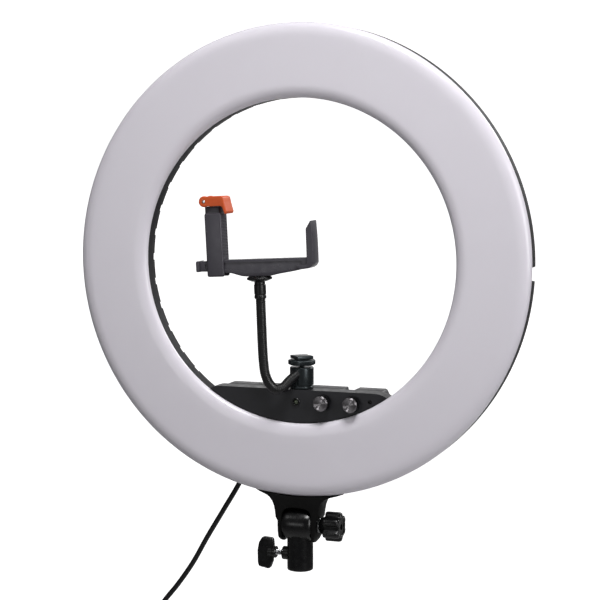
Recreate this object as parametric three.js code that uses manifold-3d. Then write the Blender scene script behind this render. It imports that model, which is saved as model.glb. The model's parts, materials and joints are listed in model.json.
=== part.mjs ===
// Studio ring light, 18 inch class, with control box, bendable phone arm, tilting stand socket and mains lead.
// Millimetres, +Z up. The ring faces -Y. The origin is the centre of the stand socket's mouth.
// Most positions below are written in the ring's own frame (centre of the diffuser's front plane),
// and one group moves them into the part's frame.
import * as THREE from 'three';
import { mergeVertices } from 'three/addons/utils/BufferGeometryUtils.js';
import Module from 'manifold-3d';

const wasm = await Module();
wasm.setup();

// ---- driving dimensions -------------------------------------------------------------------
const GAP = 0.3;
const RING_R = 240;            // outer radius of the diffuser
const HOLE_R = 165;            // radius of the hole at the diffuser
const ROUND = 7;               // rounding of the diffuser's edges
const SHELL_Y0 = 10.3;         // where the rear housing starts, outside
const SKIRT_Y = 7.4;           // depth of the diffuser's inner lip
const BACK_Y = 25;             // back face of the rear housing
const WALL = 2.2;
const NOTCHES = 40;            // vent notches round the housing
const RING_UP = 319;           // ring centre above the socket's mouth
const RING_FWD = 16;           // diffuser front ahead of the socket's axis

const BOX_TOP = -130.4;        // top of the control box
const BOX_Y0 = 6;              // front face of the control box
const BOX_Y1 = 46;             // back face of the control box
const BOX_R = 164.4;           // arc of the front shell, just inside the hole
const COVER_Z = -190;          // lower edge of the rear cover
const KNOBS = [28, 59];        // dimmer knobs, x
const KNOB_Z = -142;
const LED_X = -1, LED_Z = -143;
const SWITCH = [48, -162];     // rocker on the back

const PIVOT_Z = -271.5;        // tilt axis
const BARREL_R = 17, BARREL_W = 15.7;
const EAR_OUT = 20.3;
const SOCKET_R = 13.5, BORE_R = 8.2, BORE_TOP = -283;
const LOCK_Z = -303;

const BLOCK = [1, 18];         // shoe block axis, x y
const BLOCK_R = 12.3, BLOCK_TOP = -107.9;
const HOSE_R = 5.1;
const HOSE_A = [-31.0, -10, -92];   // lower bend of the arm
const HOSE_B = [-32.5, -10, -58];   // upper bend of the arm
const HOSE_TOP = [-33.4, -10, -37]; // start of the top ferrule
const CLAMP_O = [-34.3, -10, -17.6];// underside of the clamp's flange
const CLAMP_ROLL = -3;              // degrees about Y

const CORD_R = 2.75;
const GLAND = [-70.4, 36];
const RELIEF_END = -222;
const COIL_C = [-151.45, 36, -430.4], COIL_R = 33, COIL_S = 8.4;

// ---- helpers ------------------------------------------------------------------------------
function clean(geo) {
  let g = geo.clone();
  g.deleteAttribute('normal'); g.deleteAttribute('uv');
  g = mergeVertices(g, 1e-4);
  const p = g.attributes.position.array;
  let idx = Array.from(g.index.array), out = [], v = 0;
  for (let i = 0; i < idx.length; i += 3) {
    const [a, b, c] = [idx[i], idx[i + 1], idx[i + 2]];
    if (a === b || b === c || a === c) continue;
    out.push(a, b, c);
    const A = [p[3 * a], p[3 * a + 1], p[3 * a + 2]], B = [p[3 * b], p[3 * b + 1], p[3 * b + 2]], C = [p[3 * c], p[3 * c + 1], p[3 * c + 2]];
    v += A[0] * (B[1] * C[2] - B[2] * C[1]) - A[1] * (B[0] * C[2] - B[2] * C[0]) + A[2] * (B[0] * C[1] - B[1] * C[0]);
  }
  if (v < 0) for (let i = 0; i < out.length; i += 3) [out[i + 1], out[i + 2]] = [out[i + 2], out[i + 1]];
  g.setIndex(out);
  return g;
}
const toM = (geo) => {
  const g = clean(geo);
  return new wasm.Manifold(new wasm.Mesh({ numProp: 3, vertProperties: new Float32Array(g.attributes.position.array), triVerts: new Uint32Array(g.index.array) }));
};
const toG = (m) => {
  const q = m.getMesh(), g = new THREE.BufferGeometry();
  g.setAttribute('position', new THREE.BufferAttribute(new Float32Array(q.vertProperties), 3));
  g.setIndex(new THREE.BufferAttribute(new Uint32Array(q.triVerts), 1));
  return g;
};
const join = (...gs) => gs.map((g) => (g.isBufferGeometry ? toM(g) : g)).reduce((a, b) => a.add(b));
const cut = (a, ...bs) => bs.map((g) => (g.isBufferGeometry ? toM(g) : g)).reduce((x, b) => x.subtract(b), a.isBufferGeometry ? toM(a) : a);

// box from low to high corner
const box = (x0, x1, y0, y1, z0, z1) => new THREE.BoxGeometry(x1 - x0, y1 - y0, z1 - z0).translate((x0 + x1) / 2, (y0 + y1) / 2, (z0 + z1) / 2);
// turned pieces: profile of [radius, height] pairs round an axis
const turned = (pts, seg, closed) => new THREE.LatheGeometry((closed ? [...pts, pts[0]] : pts).map((p) => new THREE.Vector2(p[0], p[1])), seg);
const aboutY = (g, x, y, z) => g.translate(x, y, z);
const aboutZ = (g, x, y, z) => g.rotateX(Math.PI / 2).translate(x, y, z);
const aboutX = (g, x, y, z) => g.rotateZ(-Math.PI / 2).translate(x, y, z);
const rod = (r, h, seg = 16) => turned([[0, 0], [r, 0], [r, h], [0, h]], seg);
const bored = (r, b, h, seg = 20) => turned([[b, 0], [r, 0], [r, h], [b, h]], seg, true);
// plate with an outline in X and Z, from y0 to y1
function plate(pts, y0, y1) {
  const s = new THREE.Shape(pts.map((p) => new THREE.Vector2(p[0], p[1])));
  const g = new THREE.ExtrudeGeometry(s, { depth: y1 - y0, bevelEnabled: false, steps: 1 });
  return g.rotateX(Math.PI / 2).translate(0, y1, 0);
}
const arc = (cx, cz, r, a0, a1, n) => Array.from({ length: n + 1 }, (_, i) => {
  const a = THREE.MathUtils.degToRad(a0 + (a1 - a0) * i / n);
  return [cx + r * Math.cos(a), cz + r * Math.sin(a)];
});
function tube(points, r, sides, steps) {
  const c = new THREE.CatmullRomCurve3(points.map((p) => new THREE.Vector3(...p)), false, 'centripetal');
  const s = new THREE.Shape(Array.from({ length: sides }, (_, i) => new THREE.Vector2(r * Math.cos(2 * Math.PI * i / sides), r * Math.sin(2 * Math.PI * i / sides))));
  return new THREE.ExtrudeGeometry(s, { steps, extrudePath: c, bevelEnabled: false });
}
// straight round bar between two points
function bar(a, b, r, seg = 12) {
  const A = new THREE.Vector3(...a), B = new THREE.Vector3(...b), d = B.clone().sub(A), L = d.length();
  const g = rod(r, L, seg);
  g.applyQuaternion(new THREE.Quaternion().setFromUnitVectors(new THREE.Vector3(0, 1, 0), d.normalize()));
  return g.translate(...a);
}
const ball = (c, r) => new THREE.SphereGeometry(r, 12, 8).translate(...c);

const root = new THREE.Group();
const ring = new THREE.Group();
ring.position.set(0, -RING_FWD, RING_UP);
root.add(ring);
function put(name, geo, color, roughness = 0.5, metalness = 0, parent = ring) {
  const g = clean(geo.isBufferGeometry ? geo : toG(geo));
  g.computeVertexNormals();
  const m = new THREE.Mesh(g, new THREE.MeshStandardMaterial({ color, roughness, metalness }));
  m.name = name;
  parent.add(m);
  return m;
}
const BLACK = 0x17171a, DARK = 0x2a2b2f, STEEL = 0xb9bbbd;

// ---- ring head ------------------------------------------------------------------------------
const k = ROUND * (1 - Math.SQRT1_2);
put('diffuser', turned([
  [RING_R - 0.4, 10], [RING_R, ROUND], [RING_R - k, k], [RING_R - ROUND, 0],
  [HOLE_R + ROUND, 0], [HOLE_R + k, k], [HOLE_R, ROUND - 0.4], [HOLE_R, SKIRT_Y],
  [HOLE_R + 2.2, SKIRT_Y], [HOLE_R + 2.2, 6.9], [HOLE_R + 7.6, 2], [RING_R - 7.6, 2], [RING_R - 2.4, 7.6], [RING_R - 2.4, 10],
], 64, true), 0xd9d4dc, 0.35);

// rear housing: open channel with a vent notch in its inner wall every 9 degrees
{
  let shell = toM(turned([
    [239.9, SHELL_Y0], [239.9, 24], [238.8, BACK_Y], [165.8, BACK_Y], [165.2, 24.4], [165.2, SKIRT_Y + 0.3],
    [167.6, SKIRT_Y + 0.3], [168, 22.8], [237.4, 22.8], [237.4, SHELL_Y0],
  ], 80, true));
  const notch = [];
  for (let i = 0; i < NOTCHES; i++) {
    const a = 2 * Math.PI * i / NOTCHES;
    const low = Math.abs((i / NOTCHES) * 360 - 270);
    if (low > 38) notch.push(toM(box(160, 169.4, 22, 27, -3.5, 3.5).rotateY(a)));
  }
  for (const s of [-1, 1]) notch.push(toM(box(s > 0 ? 236.6 : -245, s > 0 ? 245 : -236.6, SHELL_Y0 + 1.6, 27, -14, 0)));
  shell = shell.subtract(wasm.Manifold.union(notch));
  // slot that lets the LED lead through from the control box, and two holes for the bracket's screws
  shell = cut(shell, box(-6, 6, 22, 26, -184, -176));
  for (const x of [-14, 14]) shell = cut(shell, aboutY(rod(2.3, 6, 12), x, 21, -212));
  put('rear_shell', shell, 0x222226, 0.55);
}
put('heat_spreader', turned([[170, 15], [233, 15], [233, 16.5], [170, 16.5]], 40, true), 0xc9ccd0, 0.4, 0.9);
{
  const parts = [toM(turned([[172, 13], [231, 13], [231, 14.6], [172, 14.6]], 40, true))];
  for (let i = 0; i < 20; i++) for (const r of [190, 213]) {
    const a = 2 * Math.PI * (i + (r > 200 ? 0.5 : 0)) / 20;
    parts.push(toM(box(r - 2.5, r + 2.5, 11.8, 13.3, -2.5, 2.5).rotateY(a)));
  }
  put('led_board', wasm.Manifold.union(parts), 0xf2f2ee, 0.5);
}

// ---- control box ------------------------------------------------------------------------------
const chord = (top, r, e) => {        // outline of the front shell, e is the inset from it
  const a0 = THREE.MathUtils.radToDeg(Math.asin((top - 7) / r));
  return [[-88 + e, top], [82 - e, top], [90 - e, top - 1.8], [94.2 - e * 0.8, top - 3.6], ...arc(0, 0, r, a0, -180 - a0, 22), [-95 + e * 0.8, top - 3]];
};
{
  let shell = toM(plate(chord(BOX_TOP, BOX_R, 0), BOX_Y0, 25));
  shell = cut(shell, plate(chord(BOX_TOP - WALL, BOX_R - WALL, WALL), BOX_Y0 + WALL, 26));
  for (const x of KNOBS) shell = cut(shell, aboutY(rod(3.9, 6, 16), x, 4, KNOB_Z));
  shell = cut(shell, aboutY(rod(3.9, 6, 16), LED_X, 4, LED_Z));
  shell = cut(shell, aboutZ(rod(3.4, 6, 14), BLOCK[0], BLOCK[1], BOX_TOP - 4));
  put('front_panel', shell, 0x2b2c31, 0.42);
}
const coverOut = (e) => [[-84 + e, BOX_TOP - e], [84 - e, BOX_TOP - e], [88.5 - e, BOX_TOP - 3.5 - e * 0.6], [90 - e, -142], [84 - e, COVER_Z + 5 + e * 0.4], [79 - e, COVER_Z + e],
  [-79 + e, COVER_Z + e], [-84 + e, COVER_Z + 5 + e * 0.4], [-90 + e, -142], [-88.5 + e, BOX_TOP - 3.5 - e * 0.6]];
{
  let cover = toM(plate(coverOut(0), 25.3, BOX_Y1));
  cover = cut(cover, plate(coverOut(WALL), 24, BOX_Y1 - WALL));
  cover = join(cover, box(40.4, 56.8, 25.3, 46, BOX_TOP - 5.6, BOX_TOP - 0.1));           // finger notch across the top, with a wall under it
  cover = cut(cover, box(42.8, 54.4, 24, 48, BOX_TOP - 3.4, BOX_TOP + 3));
  cover = cut(cover, box(SWITCH[0] - 10.3, SWITCH[0] + 10.3, 40, 50, SWITCH[1] - 7.3, SWITCH[1] + 7.3));
  cover = cut(cover, aboutZ(rod(5.3, 8, 14), GLAND[0], GLAND[1], COVER_Z - 3));
  for (const x of [-66, 66]) cover = cut(cover, aboutY(rod(2, 8, 10), x, 40, -142));
  for (const x of [-50, 20]) cover = cut(cover, aboutY(rod(2, 8, 10), x, 40, -184));
  put('rear_cover', cover, 0x303136, 0.5);
}
let n = 1;
for (const [x, z] of [[-66, -142], [66, -142], [-50, -184], [20, -184]]) {
  put(`cover_screw_${n++}`, join(aboutY(rod(1.6, 9, 8), x, 37.5, z), aboutY(rod(3, 1.4, 10), x, BOX_Y1 + GAP, z)), 0x3a3a3d, 0.4, 0.9);
}
put('driver_board', box(-52, 34, 31, 32.6, -182, -138), 0x1f5a3a, 0.6);
put('transformer', box(-34, -10, 33, 42.8, -176, -152), 0xc9a227, 0.6);
put('capacitor', aboutY(rod(5.5, 9.5, 12), 12, 33, -150), 0x222c3c, 0.4);

for (const [i, who] of [[0, 'brightness'], [1, 'colour']]) {
  const x = KNOBS[i];
  put(`${who}_pot`, join(aboutY(rod(8.2, 9, 16), x, 8.6, KNOB_Z), aboutY(rod(3.5, 8, 14), x, 1.6, KNOB_Z)), 0x6e6f72, 0.4, 0.8);
  put(`${who}_knob`, cut(aboutY(rod(7.3, 8.4, 24), x, -2.7, KNOB_Z), aboutY(rod(3.9, 6, 14), x, 1.2, KNOB_Z)), BLACK, 0.45);
  put(`${who}_cap`, aboutY(turned([[0, 0], [6.9, 0], [7.7, 0.7], [7.7, 1.9], [0, 1.9]], 24), x, -4.9, KNOB_Z), 0xc8c8cb, 0.25, 1);
}
put('indicator_bezel', turned([[2.6, 0], [4.2, 0.5], [4.2, 1.0], [3.6, 1.3], [3.6, 6], [2.6, 6]], 16, true).translate(LED_X, 4.7, LED_Z), BLACK, 0.4);
put('indicator_lens', aboutY(turned([[0, 0], [1.8, 0.3], [2.3, 1.0], [2.3, 6], [0, 6]], 12), LED_X, 5.0, LED_Z), 0x59635a, 0.15);
put('switch_bezel', cut(box(SWITCH[0] - 10, SWITCH[0] + 10, 36, 46.2, SWITCH[1] - 7, SWITCH[1] + 7).translate(0, 0, 0),
  box(SWITCH[0] - 8.4, SWITCH[0] + 8.4, 38, 50, SWITCH[1] - 5.4, SWITCH[1] + 5.4)), BLACK, 0.4);
put('switch_rocker', plate([[SWITCH[0] - 7.9, 43.4], [SWITCH[0] - 7.4, 48.4], [SWITCH[0], 47.2], [SWITCH[0] + 7.4, 48.4], [SWITCH[0] + 7.9, 43.4], [SWITCH[0], 41.4]].map(([x, y]) => [x, -y]), -4.9, 4.9)
  .rotateX(Math.PI / 2).translate(0, 0, SWITCH[1]), 0x111113, 0.3);

// ---- mains lead ------------------------------------------------------------------------------
put('cord_gland', cut(join(aboutZ(rod(4.9, 9, 14), GLAND[0], GLAND[1], COVER_Z - 1), aboutZ(rod(7.2, 4, 14), GLAND[0], GLAND[1], COVER_Z - 4.3)),
  aboutZ(rod(3, 20, 10), GLAND[0], GLAND[1], COVER_Z - 6)), BLACK, 0.6);
put('strain_relief', aboutZ(turned([[0, 0], [3.5, 0], [4.6, 27.2], [0, 27.2]], 12), GLAND[0], GLAND[1], RELIEF_END), BLACK, 0.7);
put('cord', tube([[GLAND[0], 36, RELIEF_END - GAP], [-71.0, 36, -227], [-74.3, 36, -236.1], [-93.2, 36, -267.9], [-111.8, 36, -298.4], [-128.8, 36, -328.0], [-146.2, 36, -352.8], [-161.7, 36, -372.4], [-173.4, 36, -391.6]], CORD_R, 8, 28), BLACK, 0.6);
put('cord_coil', turned([[COIL_R - COIL_S, -COIL_S + 2], [COIL_R - COIL_S + 2, -COIL_S], [COIL_R + COIL_S - 2, -COIL_S], [COIL_R + COIL_S, -COIL_S + 2],
  [COIL_R + COIL_S, COIL_S - 2], [COIL_R + COIL_S - 2, COIL_S], [COIL_R - COIL_S + 2, COIL_S], [COIL_R - COIL_S, COIL_S - 2]], 32, true).translate(...COIL_C), BLACK, 0.6);
{
  const [px, py, pz] = [COIL_C[0] - COIL_R - 5.6, 36, -453.2];
  let body = toM(aboutZ(turned([[0, 0], [9, 0], [10.5, 3], [10.5, 19], [7.5, 25], [5, 28], [3.4, 48], [0, 48]], 14), px, py, pz - 48));
  for (const s of [-1, 1]) body = cut(body, box(px + s * 6.35 - 1.1, px + s * 6.35 + 1.1, py - 3.6, py + 3.6, pz - 50, pz - 42));
  put('plug_body', body, BLACK, 0.5);
  for (const [s, nm] of [[-1, 'a'], [1, 'b']]) put(`plug_blade_${nm}`, box(px + s * 6.35 - 0.75, px + s * 6.35 + 0.75, py - 3.2, py + 3.2, pz - 65, pz - 42.4), 0xc9b06a, 0.3, 1);
}

// ---- shoe block and bendable arm ------------------------------------------------------------------
const HOSE_END = [-2.2, 7, -116.3];
put('shoe_block', cut(join(aboutZ(rod(BLOCK_R, BLOCK_TOP - BOX_TOP - GAP, 24), BLOCK[0], BLOCK[1], BOX_TOP + GAP), aboutZ(rod(3, 8, 12), BLOCK[0], BLOCK[1], BOX_TOP - 6)),
  box(BLOCK[0] - 0.8, BLOCK[0] + 0.8, BLOCK[1] - 14, BLOCK[1] - 6, -111, -106), aboutZ(rod(3, 8, 12), BLOCK[0], BLOCK[1], BLOCK_TOP - 5),
  bar([-12, -5.5, -126], [4, 15, -110.6], HOSE_R + 0.9, 12)), 0x1b1b1d, 0.4);
put('shoe_foot', join(aboutZ(rod(2.7, 13, 12), BLOCK[0], BLOCK[1], -112), new THREE.BoxGeometry(18, 18, 3.4).rotateZ(Math.PI / 4).translate(BLOCK[0], BLOCK[1], -98.1)), 0x24272a, 0.3, 0.6);
put('shoe_lock_ring', aboutZ(turned([[3.1, 0], [13.2, 0], [14, 0.8], [14, 4.7], [13.2, 5.5], [3.1, 5.5]], 24, true), BLOCK[0], BLOCK[1], -105.9), 0x1b1d20, 0.3, 0.6);
{
  const low = tube([[0.2, 10.2, -114.2], HOSE_END, [-6.2, 2, -120.3], [-12.2, -3.8, -127.4], [-18.4, -7.6, -128.6], [-24.4, -9.4, -122.8], [-28.4, -10, -113.4], [-30.2, -10, -102], HOSE_A], HOSE_R, 12, 26);
  put('gooseneck_lower', join(low, ball(HOSE_A, HOSE_R)), BLACK, 0.45, 0.3);
  put('gooseneck_middle', cut(join(bar(HOSE_A, HOSE_B, HOSE_R), ball(HOSE_B, HOSE_R)), ball(HOSE_A, HOSE_R + GAP + 0.05)), BLACK, 0.45, 0.3);
  put('gooseneck_upper', cut(bar(HOSE_B, HOSE_TOP, HOSE_R), ball(HOSE_B, HOSE_R + GAP + 0.05)), BLACK, 0.45, 0.3);
}
const FERRULE_END = [-34.25, -10, -19.4];
put('top_ferrule', bar([-33.42, -10, -36.7], FERRULE_END, 6.1, 16), BLACK, 0.4, 0.3);

// ---- phone clamp, in its own frame: x along the bar, z up the jaws -----------------------------------
const clamp = new THREE.Group();
clamp.position.set(...CLAMP_O);
clamp.rotation.set(0, THREE.MathUtils.degToRad(CLAMP_ROLL), 0);
ring.add(clamp);
put('flange_nut', aboutZ(turned([[0, 0], [9, 0], [13, 2], [13, 3.6], [11, 5], [0, 5]], 24), 0, 0, -1.4), BLACK, 0.5, 0, clamp);
// bar and fixed arm; the bar is narrower than the jaws, so the sliding jaw straddles it
put('clamp_body', join(
  plate([[-62, 10], [-62, 20.2], [-40, 21.2], [57, 21.2], [57, 12], [40, 8.2], [22, 5.6], [14, 3.9], [-12, 3.9], [-17, 4.4], [-28, 7.6], [-40, 9.4]], -6.2, 6.2),
  plate([[54.2, 14], [54.2, 21.6], [54.6, 50], [60.6, 59], [61.2, 30], [61, 15.5], [59, 12.4], [56, 10.6], [46, 9.6], [42, 14]], -9, 9),
), BLACK, 0.45, 0, clamp);
put('sliding_jaw', cut(join(box(-53.4, -35.1, -9, 9, 4.4, 69), box(-52.8, -37, -7, 7, 68, 75.6)), box(-60, -30, -6.5, 6.5, 0, 21.6)), BLACK, 0.42, 0, clamp);
put('end_cap', plate([[-66, 10.5], [-65, 9.6], [-62.3, 9.6], [-62.3, 20.8], [-65, 20.8], [-66, 19.8]], -7, 7), BLACK, 0.4, 0, clamp);
put('claw', cut(join(plate([
  ...arc(-52, 81, 5, 270, 90, 8), [-33.5, 86], [-31, 85], [-30.2, 80], [-27.9, 70.2], [-28.6, 68], [-30.4, 67.6], [-32.4, 74.6], [-34.2, 76],
], -11, 10), aboutY(rod(5.6, 3.7, 20), -52, -11, 81), aboutY(rod(5.6, 2.7, 20), -52, 7.3, 81)), aboutY(rod(1.9, 30, 10), -52, -15, 81)), 0xd95a1e, 0.5, 0, clamp);
put('claw_pin', aboutY(rod(1.6, 22, 10), -52, -11.5, 81), STEEL, 0.3, 1, clamp);

// ---- tilt bracket, knuckle and stand socket ------------------------------------------------------
{
  const R = RING_R + 0.6;
  const z = (x) => -Math.sqrt(R * R - x * x);
  const top = [-47, -32, -16, 0, 16, 32, 47].map((x) => [x, z(x)]);
  const right = [[47.5, z(47.5) - 1.2], [36, -240], [29, -242.4], [25, -247.4], [22.8, -256]];
  const left = right.map(([x, y]) => [-x, y]).reverse();
  let b = toM(plate([...top, ...right, [22, -264], [-22, -264], ...left], 3, 29));
  // cheeks round the tilt axis, and the arched window the knuckle turns in
  for (const s of [-1, 1]) b = join(b, aboutX(rod(17.8, EAR_OUT - BARREL_W - GAP, 28), s > 0 ? BARREL_W + GAP : -EAR_OUT, 16, PIVOT_Z));
  for (const s of [-1, 1]) b = join(b, box(s > 0 ? BARREL_W + GAP : -EAR_OUT, s > 0 ? EAR_OUT : -BARREL_W - GAP, 3, 29, PIVOT_Z, -256));
  const w = BARREL_W + GAP;
  b = cut(b, plate([[-w, -300], [w, -300], [w, -256], [11.2, -251.8], [5, -250.1], [-5, -250.1], [-11.2, -251.8], [-w, -256]], -5, 40));
  for (const s of [-1, 1]) b = cut(b, box(s > 0 ? 0 : -45, s > 0 ? 45 : 0, -14, 0, -262, -230).rotateZ(s * 0.405).translate(s * 27, 3, 0));   // wings thin out towards the housing
  // plate up the ring's back, with two screws
  b = join(b, box(-23, 23, 25.4, 29, -242.5, -200));
  for (const x of [-14, 14]) b = cut(b, aboutY(rod(2.3, 6, 12), x, 24, -212));
  b = cut(b, aboutX(rod(3.3, 60, 12), -30, 16, PIVOT_Z));
  b = cut(b, aboutX(rod(6.4, 4, 6), -EAR_OUT - 1.1, 16, PIVOT_Z));
  put('tilt_bracket', b, BLACK, 0.45);
  n = 1;
  for (const x of [-14, 14]) put(`bracket_screw_${n++}`, join(aboutY(rod(2, 8, 10), x, 21.5, -212), aboutY(turned([[0, 0], [3.6, 0], [3.6, 1], [2.4, 2.2], [0, 2.2]], 12), x, 29 + GAP, -212)), 0x3a3a3d, 0.4, 0.9);
}
{
  let s = join(aboutX(turned([[0, 0], [14.3, 0], [15.9, 2.2], [16.7, 5.5], [BARREL_R, 10], [BARREL_R, 21.4], [16.7, 25.9], [15.9, 29.2], [14.3, 31.4], [0, 31.4]], 28), -BARREL_W, 16, PIVOT_Z),
    aboutZ(turned([[0, 0], [SOCKET_R - 2.5, 0], [SOCKET_R - 0.6, 1], [SOCKET_R, 3], [SOCKET_R, 47.5], [0, 47.5]], 28), 0, 16, -RING_UP),
    aboutX(rod(7, 12, 16), -18.6, 16, LOCK_Z));
  s = cut(s, aboutZ(rod(BORE_R, BORE_TOP + RING_UP + 2, 24), 0, 16, -RING_UP - 2), aboutX(rod(3.3, 40, 12), -20, 16, PIVOT_Z), aboutX(rod(3.3, 15, 12), -20, 16, LOCK_Z));
  put('stand_socket', s, 0x141416, 0.4);
}
put('tilt_bolt', join(aboutX(rod(5.9, 3.4, 6), -EAR_OUT - 0.9, 16, PIVOT_Z), aboutX(rod(3, 58, 12), -EAR_OUT, 16, PIVOT_Z)), STEEL, 0.3, 1);
put('tilt_washer', aboutX(bored(7.5, 3.3, 1.8, 20), EAR_OUT + GAP, 16, PIVOT_Z), 0xd5d7da, 0.25, 1);
{
  const lobes = [];
  for (let i = 0; i < 48; i++) {
    const a = 2 * Math.PI * i / 48, r = 13.4 + 1.9 * Math.tanh(2.2 * Math.cos(6 * a)) / Math.tanh(2.2);
    lobes.push([r * Math.cos(a), r * Math.sin(a)]);
  }
  const head = plate(lobes, 0, 17).rotateZ(-Math.PI / 2).translate(28.2, 16, PIVOT_Z);
  const knob = cut(join(head, aboutX(turned([[0, 0], [8.2, 0], [10.4, 6], [0, 6]], 20), EAR_OUT + 2.5, 16, PIVOT_Z)), aboutX(rod(3.3, 19, 12), 20, 16, PIVOT_Z));
  put('tilt_knob', knob, 0x121214, 0.5);
}
put('lock_screw', aboutX(rod(2.9, 25, 12), -33.5, 16, LOCK_Z), STEEL, 0.3, 1);
{
  const wing = plate([[-28.6, -295.5], [-29.4, -288.4], [-41, -287.4], [-44.8, -293.6], [-46.4, -302], [-46.1, -314.6], [-45, -319], [-32.8, -321.2], [-29.6, -313]], 12.6, 19.4);
  put('lock_wing', cut(join(wing, aboutX(turned([[0, 0], [5.2, 0], [5.2, 5], [6.2, 6], [6.2, 9], [0, 9]], 16).scale(1, 1, 1), -35, 16, LOCK_Z)), aboutX(rod(3.2, 20, 12), -34, 16, LOCK_Z)), 0x131315, 0.5);
}

export default root;
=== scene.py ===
import bpy, bmesh, json, math
import numpy as np
from mathutils import Vector, Matrix, Quaternion


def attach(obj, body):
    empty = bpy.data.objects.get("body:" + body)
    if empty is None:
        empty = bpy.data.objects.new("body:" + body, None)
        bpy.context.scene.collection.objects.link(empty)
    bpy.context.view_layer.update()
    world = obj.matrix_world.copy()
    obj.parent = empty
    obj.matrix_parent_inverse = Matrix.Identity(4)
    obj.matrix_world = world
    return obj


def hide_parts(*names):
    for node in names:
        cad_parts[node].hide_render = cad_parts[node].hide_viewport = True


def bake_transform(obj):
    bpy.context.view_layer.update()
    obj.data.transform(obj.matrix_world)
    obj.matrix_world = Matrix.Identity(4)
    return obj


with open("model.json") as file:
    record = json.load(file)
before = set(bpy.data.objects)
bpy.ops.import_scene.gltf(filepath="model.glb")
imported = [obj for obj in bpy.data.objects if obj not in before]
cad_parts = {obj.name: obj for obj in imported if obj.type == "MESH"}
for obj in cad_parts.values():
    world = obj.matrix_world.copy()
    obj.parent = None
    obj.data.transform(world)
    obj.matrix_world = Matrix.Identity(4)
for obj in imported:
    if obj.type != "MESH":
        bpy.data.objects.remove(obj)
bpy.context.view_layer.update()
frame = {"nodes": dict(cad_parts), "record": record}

scene = bpy.context.scene
NODES = frame["nodes"]

# Positions are written in millimetres in the ring's own frame: the centre of the diffuser's front plane,
# +X right, +Y away from the viewer, +Z up. P() turns them into the part's frame in metres.
FWD, UP = 16.0, 319.0


def P(x, y, z):
    return Vector((x, y - FWD, z + UP)) * 0.001


# ------------------------------------------------------------------ camera
def make_camera():
    cam = bpy.data.objects.new("camera", bpy.data.cameras.new("camera"))
    bpy.context.collection.objects.link(cam)
    yaw, pitch = math.radians(19.279858717), math.radians(-5.575989)
    f = Vector((-math.sin(yaw) * math.cos(pitch), math.cos(yaw) * math.cos(pitch), math.sin(pitch)))
    r = Vector((math.cos(yaw), math.sin(yaw), 0))
    u = r.cross(f)
    m = Matrix((r, u, -f)).transposed().to_4x4()
    m.translation = P(564.4796, -1598.473, 127.4638)
    cam.matrix_world = m
    cam.data.sensor_width = 36
    cam.data.lens = 101.286
    cam.data.clip_start, cam.data.clip_end = 0.05, 40
    scene.camera = cam


make_camera()


# ------------------------------------------------------------------ mesh helpers
def new_obj(name, verts, faces, smooth=True, angle=32):
    me = bpy.data.meshes.new(name)
    me.from_pydata([tuple(v) for v in verts], [], faces)
    me.validate()
    ob = bpy.data.objects.new(name, me)
    bpy.context.collection.objects.link(ob)
    fix(ob)
    if smooth:
        shade(ob, angle)
    return ob


def fix(ob):
    bm = bmesh.new()
    bm.from_mesh(ob.data)
    bmesh.ops.recalc_face_normals(bm, faces=bm.faces)
    bm.to_mesh(ob.data)
    bm.free()


def shade(ob, angle=32):
    me = ob.data
    me.shade_smooth()
    me.set_sharp_from_angle(angle=math.radians(angle))


def apply(ob):
    dg = bpy.context.evaluated_depsgraph_get()
    dg.update()
    me = bpy.data.meshes.new_from_object(ob.evaluated_get(dg), preserve_all_data_layers=True, depsgraph=dg)
    ob.modifiers.clear()
    old = ob.data
    ob.data = me
    me.name = ob.name
    bpy.data.meshes.remove(old)
    return ob


def bevel(ob, w, seg=3, angle=30, harden=False):
    m = ob.modifiers.new("bevel", "BEVEL")
    m.width, m.segments, m.limit_method, m.angle_limit = w * 0.001, seg, "ANGLE", math.radians(angle)
    m.use_clamp_overlap = True
    m.miter_outer = "MITER_ARC"
    apply(ob)
    return ob


def boolean(ob, other, op="DIFFERENCE"):
    m = ob.modifiers.new("bool", "BOOLEAN")
    m.object, m.operation, m.solver = other, op, "EXACT"
    apply(ob)
    bpy.data.objects.remove(other, do_unlink=True)
    return ob


def cut(ob, *others):
    for o in others:
        boolean(ob, o, "DIFFERENCE")
    return ob


def join(ob, *others):
    for o in others:
        boolean(ob, o, "UNION")
    return ob


def merge_objs(name, obs):
    """Several separate solids in one object."""
    bm = bmesh.new()
    for o in obs:
        me = o.data.copy()
        me.transform(o.matrix_world)
        bm.from_mesh(me)
        bpy.data.meshes.remove(me)
    me = bpy.data.meshes.new(name)
    bm.to_mesh(me)
    bm.free()
    for o in obs:
        bpy.data.objects.remove(o, do_unlink=True)
    ob = bpy.data.objects.new(name, me)
    bpy.context.collection.objects.link(ob)
    return ob


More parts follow.
